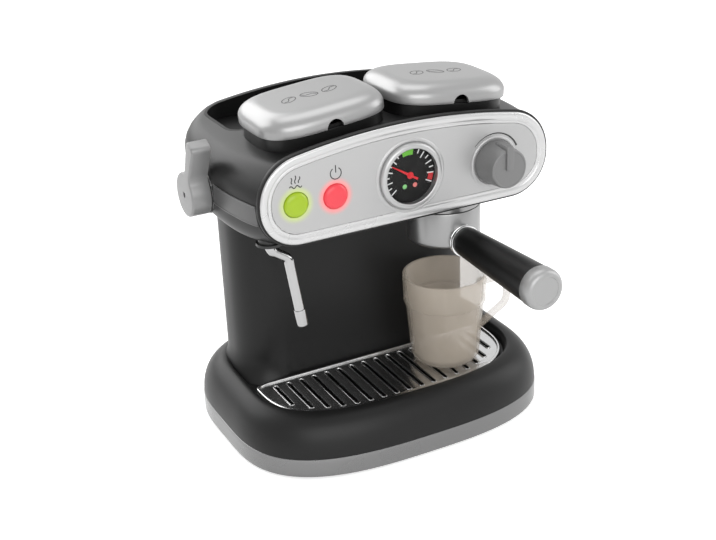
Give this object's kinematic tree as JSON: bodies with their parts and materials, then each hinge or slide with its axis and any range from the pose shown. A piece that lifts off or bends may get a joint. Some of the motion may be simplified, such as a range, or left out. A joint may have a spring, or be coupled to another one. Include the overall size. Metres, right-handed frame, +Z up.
{
  "type": "toy coffee maker",
  "caption": "Toy espresso machine with an arched head, two lidded bins, a gauge, buttons, a knob, a steam lever and wand, a portafilter, a drip grille and a clear cup.",
  "frame": {"origin": "on the floor, under the middle of the base, on the flat underside that the machine stands on", "axes": "+Z up, front (gauge, buttons, portafilter handle) towards -Y, +X to the viewer's right as seen from the front"},
  "size_m": [0.22, 0.2249, 0.2246],
  "materials": {
    "black_shell": "satin",
    "black_inner": "matte",
    "silver": "satin",
    "chrome": "polished",
    "steel": "satin",
    "rubber": "matte",
    "grey": "satin",
    "dial_black": "gloss",
    "clear": "gloss",
    "needle_red": "gloss",
    "lamp": "gloss",
    "green": "gloss",
    "red": "gloss",
    "board": "satin",
    "white_plastic": "satin",
    "hose": "satin",
    "cell": "satin",
    "cup_clear": "gloss"
  },
  "bodies": {
    "machine": {"base_skirt": "silver", "base_plate": "black_inner", "rubber_feet": "rubber", "base_screws": "steel", "base_shell": "black_shell", "drip_tray": "black_inner", "drip_grille": "chrome", "column_shell": "black_shell", "rear_cover": "black_shell", "rear_cover_screws": "steel", "chassis": "black_inner", "head_shell": "black_shell", "hinge_well": "black_inner", "trim_bands": "grey", "fascia_frame": "silver", "fascia_panel": "silver", "gauge_bezel": "silver", "gauge_dial": "dial_black", "gauge_lens": "clear", "needle_pivot": "steel", "dial_lamps": "lamp", "button_lamps": "lamp", "button_switches": "black_inner", "switch_board": "board", "rotary_switch": "black_inner", "steam_bushing": "steel", "wand_socket": "black_inner", "group_head": "silver", "group_seal": "rubber", "lid_hinge_pins": "steel", "water_tank": "black_inner", "bean_bin": "black_inner", "pump_motor": "steel", "pump_housing": "black_inner", "inlet_hose": "hose", "delivery_hose": "hose", "battery_box": "black_inner", "battery_cells": "cell", "battery_contacts": "steel", "battery_door": "black_inner", "speaker": "black_inner"},
    "lid_left": {"lid_left": "silver"},
    "lid_right": {"lid_right": "silver"},
    "steam_button": {"steam_button": "green"},
    "power_button": {"power_button": "red"},
    "control_knob": {"control_knob": "grey", "knob_spindle": "steel"},
    "needle": {"gauge_needle": "needle_red"},
    "steam_lever": {"steam_lever": "grey", "steam_spindle": "steel"},
    "wand": {"wand_tube": "chrome", "wand_nozzle": "chrome"},
    "portafilter": {"portafilter_bowl": "silver", "portafilter_outlet": "black_inner", "handle_collar": "chrome", "handle_rod": "steel", "handle_grip": "black_shell", "handle_cap": "silver"},
    "impeller": {"pump_impeller": "white_plastic"},
    "cup": {"cup": "cup_clear"}
  },
  "joints": [
    {"name": "lid_left_hinge", "type": "hinge", "parent": "machine", "child": "lid_left", "pos_m": [-0.04062, 0.0165, 0.20602], "axis": [-0.9954, 0, -0.0958], "range_deg": [0, 95]},
    {"name": "lid_right_hinge", "type": "hinge", "parent": "machine", "child": "lid_right", "pos_m": [0.04062, 0.0165, 0.20602], "axis": [-0.9954, 0, 0.0958], "range_deg": [0, 95]},
    {"name": "steam_button_press", "type": "slide", "parent": "machine", "child": "steam_button", "axis": [0, 1, 0], "range_m": [0, 0.0012], "stiffness_N_per_m": 300},
    {"name": "power_button_press", "type": "slide", "parent": "machine", "child": "power_button", "axis": [0, 1, 0], "range_m": [0, 0.0012], "stiffness_N_per_m": 300},
    {"name": "control_knob_turn", "type": "hinge", "parent": "machine", "child": "control_knob", "pos_m": [0.057, -0.07, 0.174], "axis": [0, 1, 0], "range_deg": [-60, 90]},
    {"name": "gauge_needle_turn", "type": "hinge", "parent": "machine", "child": "needle", "pos_m": [0, -0.063, 0.1766], "axis": [0, 1, 0], "range_deg": [-72, 173]},
    {"name": "steam_lever_turn", "type": "hinge", "parent": "machine", "child": "steam_lever", "pos_m": [-0.105, 0.002, 0.168], "axis": [1, 0, 0], "range_deg": [-60, 15]},
    {"name": "wand_swivel", "type": "hinge", "parent": "machine", "child": "wand", "pos_m": [-0.084, -0.047, 0.15], "axis": [0, 0, 1], "range_deg": [-60, 60]},
    {"name": "portafilter_turn", "type": "hinge", "parent": "machine", "child": "portafilter", "pos_m": [0.0407, -0.0313, 0.144], "axis": [0, 0, 1], "range_deg": [-45, 0]},
    {"name": "impeller_spin", "type": "hinge", "parent": "machine", "child": "impeller", "pos_m": [-0.02, 0.0295, 0.11], "axis": [0, 0, 1], "continuous": true},
    {"name": "cup_slide", "type": "slide", "parent": "machine", "child": "cup", "axis": [0, -0.9272, 0.3746], "range_m": [0, 0.045]}
  ]
}
